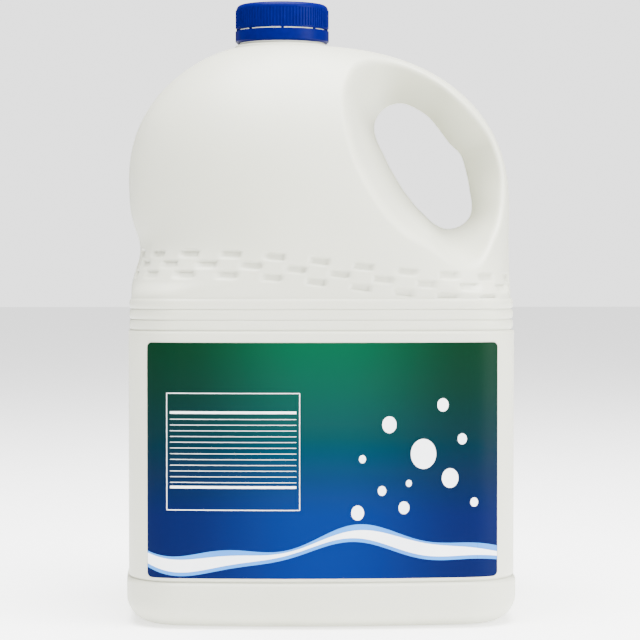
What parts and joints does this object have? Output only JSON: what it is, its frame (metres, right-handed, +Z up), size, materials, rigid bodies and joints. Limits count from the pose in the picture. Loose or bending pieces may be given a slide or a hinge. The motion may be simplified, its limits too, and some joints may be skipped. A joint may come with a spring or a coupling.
{
  "type": "plastic milk jug",
  "caption": "Full plastic milk jug with a moulded side handle, beaded shoulder, screw cap with tamper band and wrap-round front and back labels.",
  "frame": {"origin": "centre of the footprint, on the surface the jug stands on", "axes": "+Z up, +X towards the handle, -Y out of the front label"},
  "size_m": [0.165, 0.132, 0.2613],
  "materials": {
    "jug": "milk-white translucent polyethylene, satin",
    "cap": "deep blue polyethylene, satin",
    "label": "printed plastic film, green to blue"
  },
  "bodies": {
    "root": {"jug": "jug", "cap": "cap", "tamper_band": "cap", "label_front": "label", "label_back": "label"}
  },
  "joints": []
}
